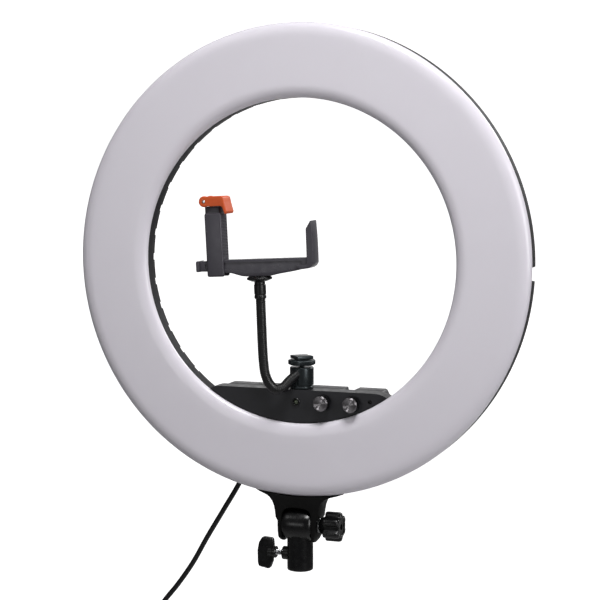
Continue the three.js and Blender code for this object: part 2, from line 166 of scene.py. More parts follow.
def fillet(pts, radii, n=5, closed=True):
    """Rounds the corners of a 2D outline. radii is one number or one per corner."""
    if not hasattr(radii, "__len__"):
        radii = [radii] * len(pts)
    out, N = [], len(pts)
    for i, (p, r) in enumerate(zip(pts, radii)):
        if r <= 0 or (not closed and i in (0, N - 1)):
            out.append(tuple(p))
            continue
        a, b, c = np.array(pts[i - 1], float), np.array(p, float), np.array(pts[(i + 1) % N], float)
        u, v = a - b, c - b
        lu, lv = np.linalg.norm(u), np.linalg.norm(v)
        u, v = u / lu, v / lv
        ang = math.acos(max(-1, min(1, float(u @ v))))
        if ang > math.pi - 0.02:
            out.append(tuple(p))
            continue
        t = min(r / math.tan(ang / 2), 0.48 * lu, 0.48 * lv)
        rr = t * math.tan(ang / 2)
        mid = (u + v) / np.linalg.norm(u + v)
        cen = b + mid * (rr / math.sin(ang / 2))
        s, e = b + u * t - cen, b + v * t - cen
        a0, a1 = math.atan2(s[1], s[0]), math.atan2(e[1], e[0])
        d = (a1 - a0 + math.pi) % (2 * math.pi) - math.pi
        for k in range(n + 1):
            q = a0 + d * k / n
            out.append((cen[0] + rr * math.cos(q), cen[1] + rr * math.sin(q)))
    return out


def frame_of(ax):
    ax = Vector(ax).normalized()
    ref = Vector((0, 0, 1)) if abs(ax.z) < 0.9 else Vector((1, 0, 0))
    s = ref.cross(ax).normalized()
    return s, ax.cross(s).normalized(), ax


def lathe(name, prof, o, ax, seg=64, closed=False, fn=None, angle=32, phase=0.0):
    """Profile of (radius, height) turned about ax through o (ring frame, mm). fn(r, h, theta) may change them."""
    s, t, ax = frame_of(ax)
    o = Vector(o)
    verts, rings = [], []
    for (r, h) in prof:
        if r <= 1e-9:
            rings.append([len(verts)])
            q = o + ax * h
            verts.append(P(*q))
            continue
        ring = []
        for i in range(seg):
            a = 2 * math.pi * i / seg + phase
            rr, hh = fn(r, h, a) if fn else (r, h)
            q = o + s * (rr * math.cos(a)) + t * (rr * math.sin(a)) + ax * hh
            ring.append(len(verts))
            verts.append(P(*q))
        rings.append(ring)
    faces = []
    pairs = list(zip(rings, rings[1:] + ([rings[0]] if closed else [])))
    if not closed:
        pairs = pairs[:len(rings) - 1]
    for A, B in pairs:
        if len(A) == 1 and len(B) == 1:
            continue
        for i in range(seg):
            j = (i + 1) % seg
            if len(A) == 1:
                faces.append((A[0], B[i], B[j]))
            elif len(B) == 1:
                faces.append((A[i], B[0], A[j]))
            else:
                faces.append((A[i], B[i], B[j], A[j]))
    return new_obj(name, verts, faces, angle=angle)


def plate(name, pts, lo, hi, plane="xz", origin=(0, 0, 0), roll=0.0, angle=32):
    """A 2D outline pushed from lo to hi. plane xz: outline in X and Z, pushed along Y. Local frame may be rolled about Y."""
    c, s = math.cos(math.radians(roll)), math.sin(math.radians(roll))

    def place(a, b, w):
        if plane == "xz":
            x, y, z = a, w, b
        elif plane == "yz":
            x, y, z = w, a, b
        else:
            x, y, z = a, b, w
        x, z = x * c + z * s, -x * s + z * c
        return P(x + origin[0], y + origin[1], z + origin[2])

    n = len(pts)
    verts = [place(a, b, lo) for a, b in pts] + [place(a, b, hi) for a, b in pts]
    faces = [tuple(range(n)), tuple(range(2 * n - 1, n - 1, -1))]
    faces += [(i, (i + 1) % n, n + (i + 1) % n, n + i) for i in range(n)]
    return new_obj(name, verts, faces, angle=angle)


def block(name, x0, x1, y0, y1, z0, z1, **k):
    return plate(name, [(x0, z0), (x1, z0), (x1, z1), (x0, z1)], y0, y1, **k)


def sweep(name, pts, radius, sides=16, angle=40, cap=True, up=None):
    """A round tube along points (ring frame, mm). radius is a number or a function of arc length."""
    pts = [Vector(p) for p in pts]
    n = len(pts)
    tang = []
    for i in range(n):
        a, b = pts[max(0, i - 1)], pts[min(n - 1, i + 1)]
        tang.append((b - a).normalized())
    nrm = frame_of(tang[0])[0] if up is None else Vector(up)
    nrm = (nrm - tang[0] * nrm.dot(tang[0])).normalized()
    verts, faces, L = [], [], 0.0
    for i in range(n):
        if i:
            q = tang[i - 1].rotation_difference(tang[i])
            nrm = (q @ nrm)
            nrm = (nrm - tang[i] * nrm.dot(tang[i])).normalized()
            L += (pts[i] - pts[i - 1]).length
        b = tang[i].cross(nrm)
        r = radius(L) if callable(radius) else radius
        for k in range(sides):
            a = 2 * math.pi * k / sides
            verts.append(P(*(pts[i] + nrm * (r * math.cos(a)) + b * (r * math.sin(a)))))
    for i in range(n - 1):
        for k in range(sides):
            j = (k + 1) % sides
            faces.append((i * sides + k, i * sides + j, (i + 1) * sides + j, (i + 1) * sides + k))
    if cap:
        faces.append(tuple(range(sides)))
        faces.append(tuple(range((n - 1) * sides, n * sides)))
    return new_obj(name, verts, faces, angle=angle)


def spline(pts, step):
    """Even points along a centripetal Catmull-Rom curve."""
    pts = [np.array(p, float) for p in pts]
    pts = [2 * pts[0] - pts[1]] + pts + [2 * pts[-1] - pts[-2]]
    fine = []
    for i in range(1, len(pts) - 2):
        p0, p1, p2, p3 = pts[i - 1:i + 3]
        t0 = 0.0
        t1 = t0 + np.linalg.norm(p1 - p0) ** 0.5
        t2 = t1 + np.linalg.norm(p2 - p1) ** 0.5
        t3 = t2 + np.linalg.norm(p3 - p2) ** 0.5
        m = 40
        for k in range(m):
            t = t1 + (t2 - t1) * k / m
            a1 = (t1 - t) / (t1 - t0) * p0 + (t - t0) / (t1 - t0) * p1
            a2 = (t2 - t) / (t2 - t1) * p1 + (t - t1) / (t2 - t1) * p2
            a3 = (t3 - t) / (t3 - t2) * p2 + (t - t2) / (t3 - t2) * p3
            b1 = (t2 - t) / (t2 - t0) * a1 + (t - t0) / (t2 - t0) * a2
            b2 = (t3 - t) / (t3 - t1) * a2 + (t - t1) / (t3 - t1) * a3
            fine.append((t2 - t) / (t2 - t1) * b1 + (t - t1) / (t2 - t1) * b2)
    fine.append(pts[-2])
    fine = np.array(fine)
    d = np.concatenate([[0], np.cumsum(np.linalg.norm(np.diff(fine, axis=0), axis=1))])
    n = max(2, int(round(d[-1] / step)) + 1)
    s = np.linspace(0, d[-1], n)
    return np.stack([np.interp(s, d, fine[:, k]) for k in range(3)], 1)


# ------------------------------------------------------------------ materials
def rgb(h):
    """Display colour 0-255 to linear."""
    return tuple((c / 255 / 12.92) if c / 255 <= 0.04045 else ((c / 255 + 0.055) / 1.055) ** 2.4 for c in h)


MATS = {}


def pbr(name, color, rough, metal=0.0, var=0.12, var_scale=18, grain=1500, bump=0.25, dist=0.00006, rvar=0.07, rscale=140,
        spec=0.5, sss=0.0, coat=0.0, lay=None, aniso=0.0, dust=0.0, alpha=None, trans=0.0, ior=1.45):
    m = bpy.data.materials.new(name)
    m.use_nodes = True
    nt = m.node_tree
    N, L = nt.nodes, nt.links
    b = N["Principled BSDF"]
    b.inputs["Metallic"].default_value = metal
    b.inputs["Specular IOR Level"].default_value = spec
    b.inputs["IOR"].default_value = ior
    if coat:
        b.inputs["Coat Weight"].default_value = coat
        b.inputs["Coat Roughness"].default_value = 0.15
    if aniso:
        b.inputs["Anisotropic"].default_value = aniso
        b.inputs["Anisotropic Rotation"].default_value = 0.25
        tg = N.new("ShaderNodeTangent")
        tg.direction_type, tg.axis = "RADIAL", "Y"
        L.new(tg.outputs["Tangent"], b.inputs["Tangent"])
    if trans:
        b.inputs["Transmission Weight"].default_value = trans
    if sss:
        b.inputs["Subsurface Weight"].default_value = sss
        b.inputs["Subsurface Radius"].default_value = (1.0, 0.95, 1.0)
        b.inputs["Subsurface Scale"].default_value = 0.006
    tc = N.new("ShaderNodeTexCoord")
    vec = tc.outputs["Object"]

    def noise(scale, detail=3, rough_=0.55, v=None):
        t = N.new("ShaderNodeTexNoise")
        t.inputs["Scale"].default_value = scale
        t.inputs["Detail"].default_value = detail
        t.inputs["Roughness"].default_value = rough_
        L.new(v or vec, t.inputs["Vector"])
        return t.outputs["Fac"]

    def ramp(src, lo, hi, a=0.3, bb=0.7):
        r = N.new("ShaderNodeMapRange")
        r.inputs["From Min"].default_value, r.inputs["From Max"].default_value = a, bb
        r.inputs["To Min"].default_value, r.inputs["To Max"].default_value = lo, hi
        L.new(src, r.inputs["Value"])
        return r.outputs["Result"]

    mix = N.new("ShaderNodeMix")
    mix.data_type = "RGBA"
    c0 = tuple(c * (1 - var) for c in color)
    c1 = tuple(min(1, c * (1 + var)) for c in color)
    mix.inputs["A"].default_value = (*c0, 1)
    mix.inputs["B"].default_value = (*c1, 1)
    L.new(ramp(noise(var_scale, 4), 0, 1), mix.inputs["Factor"])
    col = mix.outputs["Result"]
    if dust:
        d = N.new("ShaderNodeMix")
        d.data_type = "RGBA"
        d.inputs["B"].default_value = (0.35, 0.34, 0.33, 1)
        L.new(col, d.inputs["A"])
        L.new(ramp(noise(420, 6, 0.7), 0, dust, 0.55, 0.8), d.inputs["Factor"])
        col = d.outputs["Result"]
    L.new(col, b.inputs["Base Color"])
    L.new(ramp(noise(rscale, 4), max(0.02, rough - rvar), min(1, rough + rvar)), b.inputs["Roughness"])
    h = noise(grain, 2, 0.5)
    if lay is not None:      # a directional lay: rings about an axis, or lines along one
        kind, cx, cy, cz, pitch, share = lay
        mp = N.new("ShaderNodeMapping")
        mp.vector_type = "POINT"
        q = P(cx, cy, cz)
        mp.inputs["Location"].default_value = (-q.x, -q.y, -q.z)
        L.new(vec, mp.inputs["Vector"])
        w = N.new("ShaderNodeTexWave")
        if kind.startswith("rings"):
            w.wave_type = "RINGS"
            w.rings_direction = kind[-1].upper()
        else:
            w.wave_type = "BANDS"
            w.bands_direction = kind[-1].upper()
        w.inputs["Scale"].default_value = 1.0 / (pitch * 0.001) * 0.314
        w.inputs["Distortion"].default_value = 0.4
        w.inputs["Detail"].default_value = 2
        L.new(mp.outputs["Vector"], w.inputs["Vector"])
        mm = N.new("ShaderNodeMix")
        mm.data_type = "FLOAT"
        mm.inputs["Factor"].default_value = share
        L.new(h, mm.inputs["A"])
        L.new(w.outputs["Fac"], mm.inputs["B"])
        h = mm.outputs["Result"]
    bp = N.new("ShaderNodeBump")
    bp.inputs["Strength"].default_value = bump
    bp.inputs["Distance"].default_value = dist
    L.new(h, bp.inputs["Height"])
    L.new(bp.outputs["Normal"], b.inputs["Normal"])
    MATS[name] = m
    return m


pbr("opal_diffuser", rgb((208, 204, 212)), 0.3, var=0.008, var_scale=5, grain=700, bump=0.02, dist=0.00002, rvar=0.02, sss=0.25, spec=0.5)
pbr("housing_black", rgb((36, 35, 37)), 0.62, var=0.14, grain=1700, bump=0.5, dist=0.00008, dust=0.04, spec=0.16)
pbr("panel_charcoal", rgb((30, 30, 33)), 0.4, var=0.08, grain=1900, bump=0.4, dist=0.00006, spec=0.45, dust=0.02)
pbr("bracket_black", rgb((11, 11, 11)), 0.55, var=0.12, grain=1600, bump=0.25, dist=0.00004, spec=0.12, dust=0.02)
pbr("black_plastic", rgb((8, 8, 9)), 0.27, var=0.15, grain=1600, bump=0.25, dist=0.00004, spec=0.42, dust=0.02)
pbr("clamp_grey", rgb((58, 56, 62)), 0.34, var=0.1, grain=1800, bump=0.4, dist=0.00006, spec=0.45, dust=0.03)
pbr("hose_black", rgb((12, 12, 13)), 0.36, metal=0.0, var=0.15, grain=1400, bump=0.25, dist=0.00005, spec=0.45)
pbr("black_metal", rgb((48, 53, 55)), 0.3, metal=0.75, var=0.12, grain=2200, bump=0.2, dist=0.00003, rvar=0.06)
pbr("steel", rgb((203, 204, 206)), 0.24, metal=1.0, var=0.06, grain=2400, bump=0.2, dist=0.00003, rvar=0.06)
pbr("brightness_spun", rgb((146, 143, 146)), 0.5, metal=1.0, var=0.04, bump=0.1, dist=0.00001, rvar=0.03, lay=("ringsY", 28, -4, -142, 0.35, 0.85), aniso=1.0)
pbr("colour_spun", rgb((146, 143, 146)), 0.5, metal=1.0, var=0.04, bump=0.1, dist=0.00001, rvar=0.03, lay=("ringsY", 59, -4, -142, 0.35, 0.85), aniso=1.0)
pbr("board_white", rgb((232, 231, 222)), 0.5, var=0.03)
pbr("spreader", rgb((196, 198, 200)), 0.36, metal=1.0, var=0.05)
pbr("board_green", rgb((26, 84, 48)), 0.42, var=0.1)
pbr("coil_yellow", rgb((198, 160, 60)), 0.5, var=0.1)
pbr("can_blue", rgb((38, 44, 66)), 0.35, var=0.08)
pbr("screw_black", rgb((34, 34, 35)), 0.35, metal=0.8, var=0.12, grain=2200, bump=0.2)
pbr("orange_rubber", rgb((186, 78, 34)), 0.45, var=0.07, var_scale=60, grain=1300, bump=0.35, dist=0.00008, sss=0.08, spec=0.4)
pbr("cord_rubber", rgb((11, 11, 12)), 0.42, var=0.16, grain=1200, bump=0.3, dist=0.00006, spec=0.45)
pbr("brass_blade", rgb((200, 178, 120)), 0.28, metal=1.0, var=0.05)
pbr("lens", rgb((58, 64, 50)), 0.12, var=0.1, spec=0.6, coat=0.5)


def paint(ob, m):
    ob.data.materials.clear()
    ob.data.materials.append(MATS[m])
    return ob


def place(ob, body, m, *nodes, slot=None):
    paint(ob, m)
    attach(ob, body)
    if nodes:
        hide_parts(*nodes)
    return ob


SLOTS = {s["node"]: s["material_slot"] for s in frame["record"]["subparts"]}
for name, ob in NODES.items():
    m = {"chrome_cap": "brightness_spun"}.get(SLOTS[name], SLOTS[name])
    ob.data.materials.clear()
    ob.data.materials.append(MATS[m])

# ------------------------------------------------------------------ mains lead (before anything else)
GX, GY, RELIEF_END = -70.4, 36.0, -222.0
CC, CR, CD = Vector((-151.45, 36.0, -430.4)), 33.0, 5.6   # coil centre, mean radius, turn spacing
CORD_D = 5.5


def cord_route():
    straight = [(GX, 36, RELIEF_END - 0.3), (-71.0, 36, -227), (-74.3, 36, -236.1), (-93.2, 36, -267.9), (-111.8, 36, -298.4),
                (-128.8, 36, -328.0), (-146.2, 36, -352.8), (-161.7, 36, -372.4)]
    a0 = math.radians(149)
    slots = [(CR + CD, -CD), (CR, -CD), (CR - CD, -CD), (CR - CD, 0), (CR, 0), (CR + CD, 0), (CR + CD, CD)]
    win = math.radians(55)
    pts = []
    per = 40
    turns = len(slots)
    total = turns * 2 * math.pi + math.radians(31)
    n = int(per * total / (2 * math.pi))
    for i in range(n + 1):
        t = total * i / n
        k = min(int(t / (2 * math.pi)), turns - 1)
        ph = t - k * 2 * math.pi
        r, y = slots[k]
        if k + 1 < turns and ph > 2 * math.pi - win:
            s = (ph - (2 * math.pi - win)) / win
            s = s * s * (3 - 2 * s)
            r += (slots[k + 1][0] - r) * s
            y += (slots[k + 1][1] - y) * s
        a = a0 + t
        pts.append((CC.x + r * math.cos(a), CC.y + y, CC.z + r * math.sin(a)))
    first = pts[0]
    pre = [(-161.7, 34.5, -372.4), (-172.5, 31.6, -390.6)]
    tail = [(CC.x - CR - CD, CC.y + CD * 0.8, CC.z - 8), (CC.x - CR - CD, CC.y + 1.2, CC.z - 18), (CC.x - CR - CD, CC.y, -453.0)]
    return straight[:-1] + pre + pts + tail


route = spline(cord_route(), 2.4)
cord = bpy.data.objects.new("mains_lead", bpy.data.curves.new("mains_lead", "CURVE"))
cord.data.dimensions = "3D"
sp = cord.data.splines.new("POLY")
sp.points.add(len(route) - 1)
for q, p in zip(sp.points, route):
    v = P(*p)
    q.co = (*v, 1)
cord.data.bevel_depth = CORD_D * 0.0005
cord.data.bevel_resolution = 4
cord.data.use_fill_caps = True
bpy.context.collection.objects.link(cord)
place(cord, "head", "cord_rubber", "cord", "cord_coil")

# strap round the coil
tie_pts = fillet([(-10.0, -10.0), (10.0, -10.0), (10.0, 10.0), (-10.0, 10.0)], 3.5, 5)


def make_tie(name, ang):
    """A hook and loop strap wrapped round the coil's section at one angle."""
    c = Vector((CC.x + CR * math.cos(ang), CC.y, CC.z + CR * math.sin(ang)))
    er = Vector((math.cos(ang), 0, math.sin(ang)))
    ey = Vector((0, 1, 0))
    et = Vector((-math.sin(ang), 0, math.cos(ang)))
    prof = fillet([(-9.2, -9.2), (9.2, -9.2), (9.2, 9.2), (-9.2, 9.2)], 3.2, 5)
    verts, faces, n = [], [], len(prof)
    for s, w in ((1.0, -5.5), (1.0, 5.5), (1.12, 5.5), (1.12, -5.5)):
        for a, b in prof:
            verts.append(P(*(c + er * (a * s) + ey * (b * s) + et * w)))
    for j in range(4):
        for i in range(n):
            k = (i + 1) % n
            faces.append((j * n + i, j * n + k, ((j + 1) % 4) * n + k, ((j + 1) % 4) * n + i))
    ob = new_obj(name, verts, faces)
    return bevel(ob, 0.25, 2)


tie = make_tie("lead_tie", math.radians(-60))
place(tie, "head", "cord_rubber")

relief_rings = []
h0, h1 = 0.0, 27.2
prof = [(0, 0), (3.05, 0), (3.5, 0.3)]
n = 9
for i in range(n):
    a = 0.8 + (h1 - 3.2) * i / n
    w = (h1 - 3.2) / n
    r0 = 3.5 + 1.1 * (a / h1)
    prof += [(r0, a), (r0 + 0.1, a + w * 0.55), (r0 - 0.55, a + w * 0.62), (r0 - 0.55, a + w * 0.93)]
prof += [(4.6, h1 - 2.2), (4.6, h1 - 0.4), (4.2, h1), (0, h1)]
relief = lathe("lead_relief", prof, (GX, GY, RELIEF_END), (0, 0, 1), 40)
place(relief, "head", "cord_rubber", "strain_relief")

# plug: moulded body with a grip groove, two blades
px, py, pz = CC.x - CR - 5.6, 36.0, -453.2
body = lathe("plug_moulding", fillet([(0, 0), (9.2, 0), (10.5, 2.2), (10.3, 9), (9.4, 13), (10.2, 18.5), (7.4, 25), (5, 28.5), (3.3, 48), (0, 48)],
                                     [0, 1.2, 1.2, 4, 4, 3, 3, 2, 0.8, 0], 5), (px, py, pz - 48), (0, 0, 1), 48,
             fn=lambda r, h, a: (r * (1 - 0.22 * abs(math.sin(a)) ** 2 * min(1, max(0, (30 - h) / 12))) if r > 4 else r, h), angle=45)
place(body, "head", "black_plastic", "plug_body")
blades = []
for s in (-1, 1):
    b = block("blade", px + s * 6.35 - 0.75, px + s * 6.35 + 0.75, py - 3.2, py + 3.2, pz - 65, pz - 46)
    hole = lathe("hole", [(0, -3), (1.3, -3), (1.3, 3), (0, 3)], (px + s * 6.35, py, pz - 61), (1, 0, 0), 20)
    cut(b, hole)
    blades.append(bevel(b, 0.35, 2))
blade = merge_objs("plug_blades", blades)
shade(blade)
place(blade, "head", "brass_blade", "plug_blade_a", "plug_blade_b")

# ------------------------------------------------------------------ ring head
RO, RI = 240.0, 165.0
prof = []
for i in range(11):          # outer rounding, from the skirt to the face
    q = math.pi / 2 * i / 10
    prof.append((RO - 15 + 15 * math.cos(q), 7 - 7 * math.sin(q)))
for r in (218, 210, 202.5, 195, 187):
    prof.append((r, 0))
for i in range(11):
    q = math.pi / 2 * i / 10
    prof.append((RI + 14 - 14 * math.sin(q), 6.8 - 6.8 * math.cos(q)))
prof += [(RI + 0.02, 7.3), (RI + 2.2, 7.3), (RI + 2.6, 6.9), (RI + 9, 2.3), (RI + 20, 2.0), (RO - 20, 2.0), (RO - 9, 2.3), (RO - 2.6, 7.6), (RO - 2.4, 10.1), (RO - 0.4, 10.1)]
diff = lathe("diffuser_cover", prof, (0, 0, 0), (0, 1, 0), 288, closed=True, angle=50)
place(diff, "head", "opal_diffuser", "diffuser")


def housing():
    """Closed channel turned about Y whose profile changes with the angle: vent notches in the inner wall, cooling slots in the
    back and one recess in the outer wall at three and at nine o'clock."""
    stops = set()
    for i in range(720):
        stops.add(round(i * 0.5, 4))
    win = []          # (start, end, kind)
    for i in range(40):
        c = 9.0 * i
        if abs((c - 270 + 180) % 360 - 180) > 38:
            c -= 0.2
            win.append((c - 1.2, c + 1.2, "notch"))
    for g in range(12):
        c = 30.0 * g + 15
        if abs((c - 270 + 180) % 360 - 180) > 40:
            for j in range(-4, 5):
                win.append((c + j * 2.4 - 0.7, c + j * 2.4 + 0.7, "slot"))
    for c in (-1.67, 181.67):
        win.append((c - 1.67, c + 1.67, "recess"))
    for a, b, _ in win:
        for e in (a - 0.03, a + 0.03, b - 0.03, b + 0.03):
            stops.add(round(e % 360, 4))
    angs = sorted(stops)

    def inside(t, kind):
        for a, b, k in win:
            if k == kind:
                m = (a + b) / 2
                if abs((t - m + 180) % 360 - 180) < (b - a) / 2:
                    return True
        return False

    verts, n = [], None
    for t in angs:
        no, sl, re = inside(t, "notch"), inside(t, "slot"), inside(t, "recess")
        o = 3.6 if re else 0.0
        p = [(239.6 - o, 10.3 if not re else 12.0), (239.9 - o, 10.7 if not re else 12.4), (239.9 - o, 23.6), (239.6 - o, 24.4), (238.9 - o * 0.8, 24.9), (238.0 - o * 0.6, 25.0),
             (231.2, 25.0), (230.6, 24.4), (229.6, 24.4), (229.0, 25.0)]
        # cooling slots between two radii
        if sl:
            p += [(219.0, 25.0), (218.6, 24.7), (218.3, 22.9), (190.7, 22.9), (190.4, 24.7), (190.0, 25.0)]
        else:
            p += [(219.0, 25.0), (218.6, 25.0), (218.3, 25.0), (190.7, 25.0), (190.4, 25.0), (190.0, 25.0)]
        p += [(177.0, 25.0), (176.4, 24.4), (175.4, 24.4), (174.8, 25.0)]
        if no:
            p += [(170.0, 25.0), (169.7, 24.7), (169.5, 22.6), (169.1, 22.2), (165.6, 22.2), (165.2, 22.0)]
        else:
            p += [(170.0, 25.0), (169.0, 25.0), (167.4, 25.0), (166.0, 25.0), (165.45, 24.85), (165.2, 24.3)]
        p += [(165.2, 15.0), (165.2, 8.2), (165.5, 7.7), (167.5, 7.7), (168.0, 12.0), (176.0, 17.5), (228.0, 20.5), (236.0 - o * 0.4, 18.0), (237.2 - o * 0.6, 12.0 if not re else 13.0), (237.6 - o, 10.3 if not re else 12.6)]
        n = len(p)
        a = math.radians(t)
        for r, y in p:
            verts.append(P(r * math.cos(a), y, r * math.sin(a)))
    faces = []
    M = len(angs)
    for i in range(M):
        k = (i + 1) % M
        for j in range(n):
            l = (j + 1) % n
            faces.append((i * n + j, i * n + l, k * n + l, k * n + j))
    return new_obj("rear_housing", verts, faces, angle=28)


shell = housing()
# the slot for the LED lead and the holes for the bracket's screws are not made; they sit behind the cover and the
# bracket
place(shell, "head", "housing_black", "rear_shell")

# screws in the back of the housing
screws = []


def pan_head(name, o, ax, r=3.0, h=1.6, drive="cross"):
    head = lathe(name, fillet([(0, -1.2), (r * 0.55, -1.2), (r * 0.55, 0), (r, 0), (r, h * 0.35), (r * 0.55, h), (0, h * 1.02)], [0, 0, 0, 0.1, r * 0.35, r * 0.4, 0], 4), o, ax, 24)
    s, t, a = frame_of(ax)
    o = Vector(o)
    for u in (s, t):
        w = a.cross(u)
        vs = []
        for dz in (h * 0.45, h * 1.3):
            for x, y in ((-0.62, -0.16), (0.62, -0.16), (0.62, 0.16), (-0.62, 0.16)):
                vs.append(P(*(o + a * dz + u * (x * r) + w * (y * r))))
        c = new_obj("cutter", vs, [(0, 1, 2, 3), (7, 6, 5, 4), (0, 4, 5, 1), (1, 5, 6, 2), (2, 6, 7, 3), (3, 7, 4, 0)])
        cut(head, c)
    shade(head, 35)
    return head


for i in range(12):
    a = math.radians(30 * i)
    if abs((30 * i - 270 + 180) % 360 - 180) < 20:
        continue
    screws.append(pan_head("screw", (224.0 * math.cos(a), 24.9, 224.0 * math.sin(a)), (0, 1, 0), 2.6, 1.3))
sc = merge_objs("housing_screws", screws)
shade(sc, 35)
place(sc, "head", "screw_black", slot="screw_black")

# ------------------------------------------------------------------ control box in the ring's hole
BOX_TOP = -130.4


def arc_pts(r, a0, a1, n, cx=0.0, cz=0.0):
    return [(cx + r * math.cos(math.radians(a0 + (a1 - a0) * i / n)), cz + r * math.sin(math.radians(a0 + (a1 - a0) * i / n))) for i in range(n + 1)]


def rod(o, ax, r, h, seg=32):
    return lathe("cutter", [(0, 0), (r, 0), (r, h), (0, h)], o, ax, seg)


# front panel: chord of the hole, gently drooping ends, bevelled front edge
chord_a = math.degrees(math.acos(-95.5 / 164.3))
chord_b = math.degrees(math.acos(94.8 / 164.3))
outline = arc_pts(164.3, 360 - chord_a, 360 - chord_b, 60)
outline += [(94.2, BOX_TOP - 3.4), (92.4, BOX_TOP - 2.3), (89.5, BOX_TOP - 1.3), (86, BOX_TOP - 0.4), (82, BOX_TOP), (-88, BOX_TOP), (-91.5, BOX_TOP - 0.8), (-94.2, BOX_TOP - 2.3)]
panel = plate("control_panel", outline, 6.2, 25.0, angle=40)
for x in (28, 59):
    cut(panel, rod((x, 3, -142), (0, 1, 0), 4.2, 30), rod((x, 3, -142), (0, 1, 0), 8.4, 3.9))
cut(panel, rod((-1, 3, -143), (0, 1, 0), 3.9, 30))
# bevel round the panel's edges
bevel(panel, 0.9, 4, 40)
holes = [rod((77.4, 5, -139.4), (0, 1, 0), 2.1, 2.6, 24)]
cut(panel, *holes)
shade(panel, 34)
place(panel, "head", "panel_charcoal", "front_panel")
spot = pan_head("panel_screw", (77.4, 7.4, -139.4), (0, -1, 0), 1.8, 0.9)
place(spot, "head", "screw_black")


# rear cover: box with rounded corners, vents, finger notch, hole for the switch
cov = [(-84, BOX_TOP), (42.8, BOX_TOP), (42.8, BOX_TOP - 3.4), (54.4, BOX_TOP - 3.4), (54.4, BOX_TOP), (84, BOX_TOP), (90, -142), (84, -185), (79, -190), (-79, -190), (-84, -185), (-90, -142)]
cover = plate("rear_box", fillet(cov, [3, 1.2, 1.5, 1.5, 1.2, 3, 4, 3, 3, 3, 3, 4], 5), 25.3, 46.0, angle=40)
bevel(cover, 1.6, 4, 40)
slots = []
for i in range(9):
    x = -66 + i * 7.4
    slots.append(plate("cutter", fillet([(x, -172), (x + 2.4, -172), (x + 2.4, -150), (x, -150)], 1.1, 4), 44.2, 48))
sm = merge_objs("cutter", slots)
cut(cover, sm)
cut(cover, plate("cutter", fillet([(37.6, -169.4), (58.4, -169.4), (58.4, -154.6), (37.6, -154.6)], 1.0, 3), 33, 50))
# counterbores for the cover screws, and a hole for the lead
for x, z in ((-66, -142), (66, -142), (-50, -184), (20, -184)):
    cut(cover, rod((x, 44.6, z), (0, 1, 0), 3.9, 4, 24))
cut(cover, rod((GX, 36, -191), (0, 0, 1), 4.2, 6, 24))
shade(cover, 34)
place(cover, "head", "panel_charcoal", "rear_cover")
cs = merge_objs("cover_screws", [pan_head("s", (x, 44.7, z), (0, 1, 0), 3.2, 1.2) for x, z in ((-66, -142), (66, -142), (-50, -184), (20, -184))])
shade(cs, 35)
place(cs, "head", "screw_black", "cover_screw_1", "cover_screw_2", "cover_screw_3", "cover_screw_4")

# rating label left blank: a plain plate
lab = plate("rating_label", fillet([(-20, -172), (22, -172), (22, -150), (-20, -150)], 1.5, 4), 46.0, 46.12)
pbr("label_grey", rgb((150, 150, 152)), 0.55, var=0.04, bump=0.1)
place(lab, "head", "label_grey", slot="housing_black")

# switch
bz = plate("switch_frame", fillet([(38, -169), (58, -169), (58, -155), (38, -155)], 1.2, 4), 36.2, 47.2)
cut(bz, plate("cutter", fillet([(39.9, -167.1), (56.1, -167.1), (56.1, -156.9), (39.9, -156.9)], 0.5, 3), 38.0, 50))
bevel(bz, 0.35, 3, 40)
place(bz, "head", "black_plastic", "switch_bezel")
rk = plate("switch_key", [(40.6, 39.5), (55.4, 39.5), (55.4, 46.5), (54.9, 48.3), (52, 47.2), (48, 46.6), (44, 47.2), (41.1, 48.3), (40.6, 46.5)], -166.9, -157.1, plane="xy")
bevel(rk, 0.4, 3, 25)
marks = [plate("cutter", [(43.6, -163.4), (44.3, -163.4), (44.3, -160.6), (43.6, -160.6)], 46.7, 49.5)]
ringm = lathe("cutter", [(1.1, 46.3), (1.75, 46.3), (1.75, 49.5), (1.1, 49.5)], (52.2, 0, -162), (0, 1, 0), 28, closed=True)
cut(rk, marks[0], ringm)
shade(rk, 34)
place(rk, "rocker", "black_plastic", "switch_rocker")


# dimmer knobs: ribbed skirt, spun cap
def dimmer(kind, x):
    z = -142

    def ribs(r, h, a):
        if r < 6.9 or h < 0.2:
            return r, h
        return r - 0.28 * (0.5 + 0.5 * math.cos(28 * a)) ** 2, h
    pr = [(0, 0.0), (6.6, 0.0), (7.15, 0.4), (7.3, 0.9), (7.3, 2.4), (7.3, 4.2), (7.3, 6.2), (7.25, 7.4), (6.7, 8.0), (5.4, 8.2), (5.2, 7.0), (0, 7.0)]
    k = lathe(kind + "_skirt", pr, (x, 5.6, z), (0, -1, 0), 224, fn=ribs, angle=45)
    place(k, kind + "_dial", "black_plastic", kind + "_knob")
    cp = [(0, 0), (7.0, 0), (7.6, 0.25), (7.7, 0.5), (7.62, 0.8), (6.75, 1.5), (6.5, 1.72), (6.25, 1.78), (6.0, 1.7), (5.7, 1.42), (4.4, 1.2), (2.8, 1.04), (1.3, 0.97), (0, 0.95)]
    c = lathe(kind + "_spun_cap", cp, (x, -3.0, z), (0, -1, 0), 96, angle=50)
    cut(c, block("cutter", x - 0.4, x + 0.4, -4.9, -4.1, z + 3.2, z + 5.4))
    shade(c, 40)
    place(c, kind + "_dial", kind + "_spun", kind + "_cap", slot="chrome_cap")


dimmer("brightness", 28)
dimmer("colour", 59)

